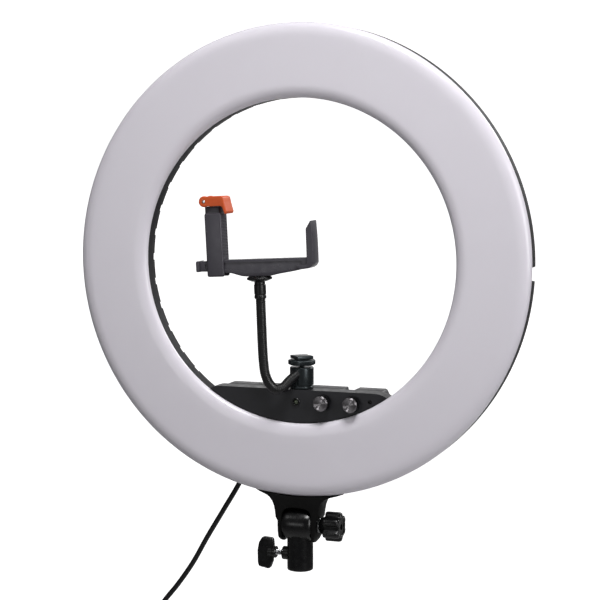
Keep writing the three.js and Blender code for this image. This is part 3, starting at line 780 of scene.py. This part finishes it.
# indicator
ib = lathe("indicator_ring", [(2.45, 0), (3.9, 0), (3.9, 4.6), (4.2, 4.8), (4.2, 5.7), (3.9, 6.0), (3.2, 6.0), (2.7, 5.3), (2.45, 4.8)], (-1, 10.7, -143), (0, -1, 0), 48, closed=True)
place(ib, "head", "black_plastic", "indicator_bezel")
il = lathe("indicator_dome", [(0, 0), (2.35, 0), (2.35, 4.9), (2.1, 5.3), (1.5, 5.6), (0, 5.75)], (-1, 10.9, -143), (0, -1, 0), 40)
place(il, "head", "lens", "indicator_lens")

# gland under the cover
gl = lathe("lead_gland", fillet([(3.6, 0), (6.6, 0), (7.2, 0.6), (7.2, 3.6), (4.9, 4.0), (4.9, 12.0), (3.6, 12.0)], [0.2, 0.3, 0.2, 0.2, 0.2, 0.3, 0.2], 3), (GX, GY, -194.3), (0, 0, 1), 72, closed=True,
             fn=lambda r, h, a: (r - (0.3 * (0.5 + 0.5 * math.cos(24 * a)) if r > 7.0 else 0), h))
place(gl, "head", "black_plastic", "cord_gland")

# ------------------------------------------------------------------ shoe on the box, flexible arm
SX, SY = 1.0, 18.0


def knurl(n, d):
    def fn(r, h, a):
        return (r - d * (0.5 + 0.5 * math.cos(n * a)), h) if r > 6 else (r, h)
    return fn


blk = lathe("shoe_turned", fillet([(0, 0), (11.6, 0), (12.3, 0.7), (12.3, 2.4), (11.6, 2.8), (11.6, 3.6), (12.3, 4.0), (12.3, 21.4), (11.4, 22.2), (0, 22.2)], [0, 0.2, 0.5, 0.2, 0.2, 0.2, 0.2, 0.5, 0.3, 0], 3),
            (SX, SY, -130.1), (0, 0, 1), 96)
cut(blk, block("cutter", SX - 0.7, SX + 0.7, SY - 14, SY - 1, -126.5, -100))
bevel(blk, 0.25, 2, 40)
shade(blk, 34)
place(blk, "arm_base", "black_metal", "shoe_block")
ring = lathe("shoe_knurled_ring", [(3.4, 0), (12.6, 0), (13.3, 0.45), (14.0, 1.0), (14.0, 2.2), (14.0, 3.4), (14.0, 4.5), (13.3, 5.05), (12.4, 5.5), (3.4, 5.5)], (SX, SY, -105.9), (0, 0, 1), 360, closed=True,
             fn=lambda r, h, a: (r - (0.45 * (0.5 + 0.5 * math.cos(60 * a)) if r > 13.9 else 0), h), angle=45)
place(ring, "shoe_ring", "black_metal", "shoe_lock_ring")
c45 = 9.0
diamond = [(SX + (u - v) * math.sqrt(0.5), SY + (u + v) * math.sqrt(0.5)) for u, v in fillet([(-9, -9), (9, -9), (9, 9), (-9, 9)], 0.6, 5)]
foot = plate("shoe_plate", diamond, -99.8, -96.4, plane="xy")
bevel(foot, 0.5, 3, 40)
stud_prof = [(0, 0), (2.7, 0)]
for i in range(16):
    h = 0.4 + i * 0.75
    stud_prof += [(2.7, h), (2.35, h + 0.375)]
stud_prof += [(2.7, 12.6), (2.7, 13.0), (0, 13.0)]
stud = lathe("stud", stud_prof, (SX, SY, -112), (0, 0, 1), 32, angle=60)
foot = merge_objs("shoe_plate", [foot, stud])
shade(foot, 34)
place(foot, "arm_base", "black_metal", "shoe_foot")

HA, HB = Vector((-31, -10, -92)), Vector((-32.5, -10, -58))
SEAM = -76.0
low_pts = [(0.2, 10.2, -114.2), (-2.2, 7, -116.3), (-6.2, 2, -120.3), (-12.2, -3.8, -127.4), (-18.4, -7.6, -128.6), (-24.4, -9.4, -122.8), (-28.4, -10, -113.4), (-30.2, -10, -102), (-31, -10, -92), (-31.8, -10, -76.0)]
up_pts = [(-31.8, -10, -76.0), (-32.5, -10, -58), (-33.4, -10, -36)]


RIB = 1.9


def hose(name, pts, phase=0.0):
    q = spline(pts, 0.19)
    length = float(np.linalg.norm(np.diff(q, axis=0), axis=1).sum())
    tube = sweep(name, q, lambda L: 5.1 - 0.28 * (0.5 - 0.5 * math.cos(2 * math.pi * ((L + phase) % RIB) / RIB)) ** 0.7, 24, angle=60)
    return tube, (length + phase) % RIB


lo_hose, ph = hose("flexible_hose_lower", low_pts)
paint(lo_hose, "hose_black")
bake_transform(lo_hose)
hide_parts("gooseneck_lower")
up_hose, _ = hose("flexible_hose_upper", up_pts, ph)
paint(up_hose, "hose_black")
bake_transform(up_hose)
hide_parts("gooseneck_middle", "gooseneck_upper")


def line_lathe(name, a, b, prof_fn, seg=48, **k):
    a, b = Vector(a), Vector(b)
    L = (b - a).length
    return lathe(name, prof_fn(L), a, (b - a).normalized(), seg, **k)


fer = line_lathe("hose_top_ferrule", (-33.42, -10, -36.7), (-34.25, -10, -19.4),
                 lambda L: fillet([(0, 0), (5.6, 0), (6.1, 0.5), (6.1, 3.2), (5.7, 3.6), (5.7, 4.2), (6.1, 4.6), (6.1, L - 3.4), (5.5, L - 2.8), (5.5, L), (0, L)], [0, 0.2, 0.3, .1, .1, .1, .1, .4, .2, 0.2, 0], 3))
place(fer, "neck_upper", "hose_black", "top_ferrule", slot=SLOTS["top_ferrule"])

# ------------------------------------------------------------------ phone clamp
CO, CROLL = Vector((-34.3, -10, -17.6)), -3.0


def cplate(name, pts, v0, v1, **k):
    """Plate in the clamp's frame: outline in u and w, pushed along v."""
    return plate(name, pts, v0, v1, origin=tuple(CO), roll=CROLL, **k)


def cvec(u, v, w):
    c, s = math.cos(math.radians(CROLL)), math.sin(math.radians(CROLL))
    return Vector((u * c + w * s, v, -u * s + w * c))


def cpt(u, v, w):
    return CO + cvec(u, v, w)


fl = lathe("clamp_flange", fillet([(0, 0), (8.6, 0), (13, 2.0), (13, 3.6), (11, 5), (0, 5)], [0, 0.8, 0.8, 0.5, 0.4, 0], 4), tuple(cpt(0, 0, -1.4)), cvec(0, 0, 1), 120,
           fn=lambda r, h, a: (r - (0.35 * (0.5 + 0.5 * math.cos(40 * a)) if r > 12.7 else 0), h))
place(fl, "phone_clamp", "black_plastic", "flange_nut")
bar = cplate("clamp_bar", [(-62, 10), (-62, 20.2), (-40, 21.2), (57, 21.2), (57, 12), (40, 8.2), (22, 5.6), (14, 3.9), (-12, 3.9), (-17, 4.4), (-28, 7.6), (-40, 9.4)], -6.2, 6.2)
bevel(bar, 0.7, 3, 40)
for v in (-1, 1):
    cut(bar, cplate("cutter", fillet([(-56, 12.6), (-56, 17.8), (-38, 18.5), (48, 18.5), (48, 14.2), (38, 10.9), (20, 8.9), (-10, 8.2), (-30, 11.6)], 1.0, 3), 5.2 if v > 0 else -7, 7 if v > 0 else -5.2))
arm = cplate("clamp_arm", fillet([(54.2, 14), (54.2, 21.6), (54.4, 34), (54.6, 50), (60.4, 59), (61.0, 45), (61.2, 30), (61, 15.5), (59, 12.4), (56, 10.6), (46, 9.6), (42, 14)], [1, 1, 3, 1.2, 0.5, 6, 6, 4, 2, 2, 1, 1], 4), -9, 9)
bevel(arm, 1.1, 4, 40)
join(bar, arm)
cut(bar, merge_objs("cutter", [cplate("cutter", [(53.6, w), (55.0, w), (55.0, w + 1.1), (53.6, w + 1.1)], -7.2, 7.2) for w in [26 + 3.0 * i for i in range(8)]]))
shade(bar, 34)
place(bar, "phone_clamp", "clamp_grey", "clamp_body")

jaw = cplate("jaw_block", [(-53.4, 4.4), (-35.1, 4.4), (-35.1, 69), (-53.4, 69)], -9, 9)
neck = cplate("cutter", [(-52.8, 66), (-37, 66), (-37, 75.6), (-52.8, 75.6)], -7, 7)
bevel(jaw, 1.9, 5, 40)
bevel(neck, 0.8, 3, 40)
join(jaw, neck)
cut(jaw, cplate("cutter", [(-60, 0), (-30, 0), (-30, 21.6), (-60, 21.6)], -6.5, 6.5))
# grip ribs on the face that meets the phone
ribs = [cplate("cutter", [(-35.9, w), (-34, w), (-34, w + 1.1), (-35.9, w + 1.1)], -7.2, 7.2) for w in [26 + 3.0 * i for i in range(13)]]
cut(jaw, merge_objs("cutter", ribs))
shade(jaw, 34)
place(jaw, "jaw", "clamp_grey", "sliding_jaw")
cap = cplate("bar_end_cap", fillet([(-66, 10.5), (-65, 9.6), (-62.3, 9.6), (-62.3, 20.8), (-65, 20.8), (-66, 19.8)], [0.6, 0.4, 0, 0, 0.4, 0.6], 3), -7, 7)
bevel(cap, 0.45, 3, 50)
place(cap, "phone_clamp", "clamp_grey", "end_cap")

cl = [(-52 + 5 * math.cos(math.radians(a)), 81 + 5 * math.sin(math.radians(a))) for a in range(270, 89, -10)]
cl += fillet([(-52, 86), (-33.5, 86), (-31.0, 85), (-30.2, 80), (-27.9, 70.2), (-28.6, 68), (-30.4, 67.6), (-32.4, 74.6), (-34.2, 76), (-52, 76)],
             [0, 2.5, 2.0, 6, 1.3, 1.0, 0.9, 3, 2.0, 0], 5, closed=False)[1:-1]
claw = cplate("fold_claw", cl, -11, 10)
bevel(claw, 1.1, 4, 40)
for v0, v1 in ((-11, -7.3), (7.3, 10)):
    disc = lathe("cutter", fillet([(0, v0), (5.6, v0), (5.6, v1), (0, v1)], [0, 1.0 if v0 < 0 else 0.3, 0.3 if v0 < 0 else 1.0, 0], 4), tuple(cpt(-52, 0, 81)), (0, 1, 0), 64)
    join(claw, disc)
cut(claw, lathe("cutter", [(0, 0), (1.75, 0), (1.75, 30), (0, 30)], tuple(cpt(-52, -15, 81)), (0, 1, 0), 24))
shade(claw, 34)
place(claw, "claw_lever", "orange_rubber", "claw")
pin = lathe("claw_hinge_pin", fillet([(0, 0), (1.6, 0), (1.6, 22), (0, 22)], [0, 0.4, 0.4, 0], 3), tuple(cpt(-52, -11.5, 81)), (0, 1, 0), 24)
place(pin, "claw_lever", "steel", "claw_pin")

# ------------------------------------------------------------------ tilt bracket
PZ, BW, GP, EO = -271.5, 15.7, 0.3, 20.3
RB = 240.6
side = [(47.5, -math.sqrt(RB * RB - 47.5 ** 2) - 0.9), (42, -238.5), (36, -239.8), (32.5, -240.9), (29.2, -242.8), (26.2, -246.2), (24.2, -251.2), (23.1, -257.0), (22.4, -263.0), (EO, -266.5), (EO, -271.5)]
cheek = [(20.1, PZ - 6), (19.5, PZ - 11), (18.4, PZ - 15), (17.0, PZ - 17.6), (BW + GP, PZ - 17.6)]
top = [(x, -math.sqrt(RB * RB - x * x)) for x in [-47 + 94 * i / 28 for i in range(29)]]
arch = [(BW + GP, -260.4), (15.2, -257.2), (13.4, -254.9), (10.4, -253.1), (5.6, -252.1), (0, -251.8), (-5.6, -252.1), (-10.4, -253.1), (-13.4, -254.9), (-15.2, -257.2), (-(BW + GP), -260.4)]
right = side + cheek
left = [(-x, z) for x, z in reversed(right)]
br = plate("tilt_yoke", top + right + arch + left, 3.0, 29.0)
# round the cheeks about the tilt axis
for s in (-1, 1):
    x0, x1 = (BW + GP - 0.5, EO + 4) if s > 0 else (-EO - 4, -BW - GP + 0.5)
    wedge = fillet([(-4, -271.5), (-4, -292), (36, -292), (36, -271.5)], 0)
    ring_ = [(16 + 17.7 * math.cos(math.radians(a)), PZ + 17.7 * math.sin(math.radians(a))) for a in range(-180, 1, 6)]
    poly = [(-6, PZ + 0.01), (-6, -294), (38, -294), (38, PZ + 0.01)] + list(reversed(ring_))
    cut(br, plate("cutter", poly, x0, x1, plane="yz"))
cut(br, lathe("cutter", [(0, 0), (3.3, 0), (3.3, 80), (0, 80)], (-40, 16, PZ), (1, 0, 0), 32))
cut(br, lathe("cutter", [(0, 0), (7.0, 0), (7.0, 1.4), (0, 1.4)], (-EO - 0.05, 16, PZ), (1, 0, 0), 6))
for s in (-1, 1):
    cut(br, plate("cutter", [(s * 26.5, 2.0), (s * 27, 3.0), (s * 36, 5.6), (s * 48, 11.6), (s * 60, 11.6), (s * 60, 0), (s * 26.5, 0)], -262, -230, plane="xy"))
bevel(br, 1.1, 4, 42)
strap = plate("cutter", fillet([(-23, -242.5), (23, -242.5), (23, -200), (-23, -200)], [0.5, 0.5, 4, 4], 5), 25.4, 29.0)
bevel(strap, 0.8, 3, 42)
join(br, strap)
for x in (-14, 14):
    cut(br, lathe("cutter", [(0, 0), (2.3, 0), (2.3, 8), (0, 8)], (x, 24, -212), (0, 1, 0), 24))
cut(br, plate("cutter", fillet([(-8, -236), (8, -236), (8, -221), (-8, -221)], 3, 5), 28.2, 30))
shade(br, 34)
place(br, "head", "bracket_black", "tilt_bracket", slot=SLOTS["tilt_bracket"])
for n, x in ((1, -14), (2, 14)):
    place(merge_objs("strap_screw_%d" % n, [pan_head("s", (x, 29.3, -212), (0, 1, 0), 3.5, 1.9)]), "head", "screw_black", "bracket_screw_%d" % n)

# ------------------------------------------------------------------ stand socket
bp_ = [(3.3, 0), (14.2, 0), (15.1, 0.8), (15.8, 2.0), (16.4, 3.8), (16.8, 6), (17.0, 9), (17.05, 15.7), (17.0, 22.4), (16.8, 25.4), (16.4, 27.6), (15.8, 29.4), (15.1, 30.6), (14.2, 31.4), (3.3, 31.4)]
so = lathe("socket_knuckle", bp_, (-15.7, 16, PZ), (1, 0, 0), 96, closed=True)
st = lathe("cutter", [(0, 0), (12.3, 0), (13.1, 0.35), (13.5, 1.1), (13.5, 4), (13.5, 30), (13.6, 36), (13.9, 40), (14.4, 47.5), (0, 47.5)], (0, 16, -319), (0, 0, 1), 96)
bs = lathe("cutter", fillet([(0, 0), (7.0, 0), (7.0, 12), (0, 12)], [0, 0.7, 0, 0], 4), (-18.6, 16, -303), (1, 0, 0), 48)
join(so, st, bs)
cut(so, lathe("cutter", [(0, 0), (9.0, 0), (8.2, 0.9), (8.2, 38), (0, 38)], (0, 16, -319.02), (0, 0, 1), 64),
    lathe("cutter", [(0, 0), (3.3, 0), (3.3, 30), (0, 30)], (-24, 16, -303), (1, 0, 0), 32))
shade(so, 34)
place(so, "socket", "black_plastic", "stand_socket")

# ------------------------------------------------------------------ tilt bolt, washer, knob
bolt = lathe("tilt_bolt_shank", fillet([(0, 0), (3.0, 0), (3.0, 58), (0, 58)], [0, 0, 0.4, 0], 3), (-EO, 16, PZ), (1, 0, 0), 32)
hexh = lathe("hex", fillet([(0, 0), (5.5, 0), (6.0, 0.5), (6.0, 3.4), (0, 3.4)], 0, 1), (-EO - 0.9, 16, PZ), (1, 0, 0), 6, angle=20)
bevel(hexh, 0.3, 2, 40)
tb = merge_objs("tilt_bolt_hex", [bolt, hexh])
shade(tb, 30)
place(tb, "head", "steel", "tilt_bolt")
ws = lathe("tilt_disc", [(3.3, 0), (7.2, 0), (7.5, 0.3), (7.5, 1.5), (7.2, 1.8), (3.3, 1.8)], (EO + 0.3, 16, PZ), (1, 0, 0), 64, closed=True)
place(ws, "head", "steel", "tilt_washer")


def lobe(r, h, a):
    if r < 11.5:
        return r, h
    k = (r - 11.5) / (15.3 - 11.5)
    full = 13.4 + 1.9 * math.tanh(2.2 * math.cos(6 * a + math.pi)) / math.tanh(2.2)
    return full - (15.3 - r) * 0.9, h


kp = [(3.3, 0), (8.0, 0), (8.3, 0.4), (8.9, 2.4), (10.0, 5.0), (11.4, 5.4), (14.0, 5.4), (14.9, 5.9), (15.3, 7.2), (15.3, 9.0), (15.3, 12), (15.3, 16), (15.3, 19.4), (15.0, 21.0), (14.2, 22.0), (12.6, 22.4),
      (11.2, 22.4), (9.6, 22.2), (9.2, 21.7), (3.3, 21.7)]
kn = lathe("tilt_lobed_knob", kp, (EO + 2.5, 16, PZ), (1, 0, 0), 192, closed=True, fn=lobe, angle=45)
plug_ = lathe("cutter", [(3.0, 17.3), (3.6, 17.3), (3.6, 24.0), (3.0, 24.0)], (EO + 2.5, 16, PZ), (1, 0, 0), 48, closed=True)
bpy.data.objects.remove(plug_, do_unlink=True)
place(kn, "tilt_handle", "black_plastic", "tilt_knob")

# ------------------------------------------------------------------ lock screw with a wing
LZ = -303.0
sp_ = [(0, 0), (2.2, 0), (2.9, 0.7)]
h = 0.9
while h < 23.6:
    sp_ += [(2.9, h), (2.55, h + 0.35), (2.9, h + 0.7)]
    h += 0.7
sp_ += [(2.9, 24.4), (2.3, 25), (0, 25)]
sc_ = lathe("lock_thread", sp_, (-33.5, 16, LZ), (1, 0, 0), 32, angle=60)
place(sc_, "lock_handle", "steel", "lock_screw")
wpts = fillet([(-28.6, -295.5), (-29.4, -288.4), (-41, -287.4), (-44.8, -293.6), (-46.4, -302), (-46.1, -314.6), (-45, -319), (-32.8, -321.2), (-29.6, -313)],
              [3, 2.5, 3.5, 5, 8, 6, 2.5, 3, 4], 6)
wg = plate("lock_wing_plate", wpts, 12.6, 19.4)
bevel(wg, 1.5, 4, 42)
hub = lathe("cutter", [(0, 0), (4.8, 0), (5.2, 0.5), (5.2, 5), (6.2, 6), (6.2, 8.5), (5.8, 9), (0, 9)], (-35, 16, LZ), (1, 0, 0), 56)
join(wg, hub)
cut(wg, lathe("cutter", [(0, 0), (3.05, 0), (3.05, 20), (0, 20)], (-33.6, 16, LZ), (1, 0, 0), 32))
for v in (-1, 1):
    cut(wg, plate("cutter", fillet([(-41.5, -298), (-41.0, -290.4), (-34, -290.8), (-33.6, -297)], 1.4, 4), 18.8 if v > 0 else 12.0, 20 if v > 0 else 13.2))
    cut(wg, plate("cutter", fillet([(-42.2, -308.4), (-42.0, -315.0), (-35.4, -316.2), (-34, -309)], 1.4, 4), 18.8 if v > 0 else 12.0, 20 if v > 0 else 13.2))
shade(wg, 34)
place(wg, "lock_handle", "black_plastic", "lock_wing")

# ------------------------------------------------------------------ stage
def stage_mesh(name, verts, faces, mat):
    me = bpy.data.meshes.new(name)
    me.from_pydata(verts, [], faces)
    ob = bpy.data.objects.new(name, me)
    bpy.context.collection.objects.link(ob)
    ob.data.materials.append(mat)
    return ob


def emit_mat(name, color, strength=1.0):
    m = bpy.data.materials.new(name)
    m.use_nodes = True
    nt = m.node_tree
    nt.nodes.clear()
    e = nt.nodes.new("ShaderNodeEmission")
    e.inputs["Color"].default_value = (*color, 1)
    e.inputs["Strength"].default_value = strength
    o = nt.nodes.new("ShaderNodeOutputMaterial")
    nt.links.new(e.outputs["Emission"], o.inputs["Surface"])
    return m


floor = bpy.data.materials.new("paper")
floor.use_nodes = True
fn_ = floor.node_tree
fb = fn_.nodes["Principled BSDF"]
fb.inputs["Base Color"].default_value = (0.7, 0.7, 0.7, 1)
fb.inputs["Roughness"].default_value = 0.9
fb.inputs["Specular IOR Level"].default_value = 0.1
# painted light: the paper itself glows (emission) over a soft round patch at the back, standing in for a lamp behind it
geo = fn_.nodes.new("ShaderNodeNewGeometry")
dist = fn_.nodes.new("ShaderNodeVectorMath")
dist.operation = "DISTANCE"
dist.inputs[1].default_value = (-2.09, 6.0, -0.34)
fn_.links.new(geo.outputs["Position"], dist.inputs[0])
fall = fn_.nodes.new("ShaderNodeMapRange")
fall.interpolation_type = "SMOOTHSTEP"
fall.inputs["From Min"].default_value, fall.inputs["From Max"].default_value = 2.35, 3.3
fall.inputs["To Min"].default_value, fall.inputs["To Max"].default_value = 0.95, 0.0
fn_.links.new(dist.outputs["Value"], fall.inputs["Value"])
# painted light: emission strength of the glowing patch on the paper
fb.inputs["Emission Color"].default_value = (1, 1, 1, 1)
fn_.links.new(fall.outputs["Result"], fb.inputs["Emission Strength"])
# sweep: flat floor well below the part, curving up behind it
fz, by = -1.6, 6.0
rows = [(-4.5, fz), (4.0, fz)]
for i in range(13):
    q = math.radians(90 * i / 12)
    rows.append((by - 1.2 + 1.2 * math.sin(q), fz + 1.2 - 1.2 * math.cos(q)))
rows.append((by, 6.0))
vv = [(x, y, z) for (y, z) in rows for x in (-8, 6)]
ff = [(2 * i, 2 * i + 1, 2 * i + 3, 2 * i + 2) for i in range(len(rows) - 1)]
sweep_ = stage_mesh("paper_sweep", vv, ff, floor)
for p_ in sweep_.data.polygons:
    p_.use_smooth = True


def area(name, at, to, w, h, power, color=(1, 1, 1)):
    d = bpy.data.lights.new(name, "AREA")
    d.shape, d.size, d.size_y, d.energy, d.color = "RECTANGLE", w, h, power, color
    ob = bpy.data.objects.new(name, d)
    bpy.context.collection.objects.link(ob)
    ob.location = at
    ob.rotation_euler = (Vector(to) - Vector(at)).to_track_quat("-Z", "Y").to_euler()
    return ob


area("key", (0.35, -0.8, 2.1), (0, 0, 0.3), 0.8, 0.5, 40)
area("side", (1.95, -1.15, 0.8), (0, 0, 0.3), 0.5, 1.4, 28.5)
area("fill", (-1.3, -1.2, 1.9), (0, 0, 0.3), 0.6, 0.6, 4)
area("rear", (1.3, 2.3, 1.7), (0, 0, 0.3), 1.0, 1.0, 44)
area("front", (-0.6, -1.9, 0.3), (0, 0, 0.08), 0.6, 0.45, 2.2)

w = bpy.data.worlds.new("studio")
scene.world = w
w.use_nodes = True
w.node_tree.nodes["Background"].inputs["Color"].default_value = (1, 1, 1, 1)
w.node_tree.nodes["Background"].inputs["Strength"].default_value = 0.1
scene.view_settings.view_transform = "Standard"
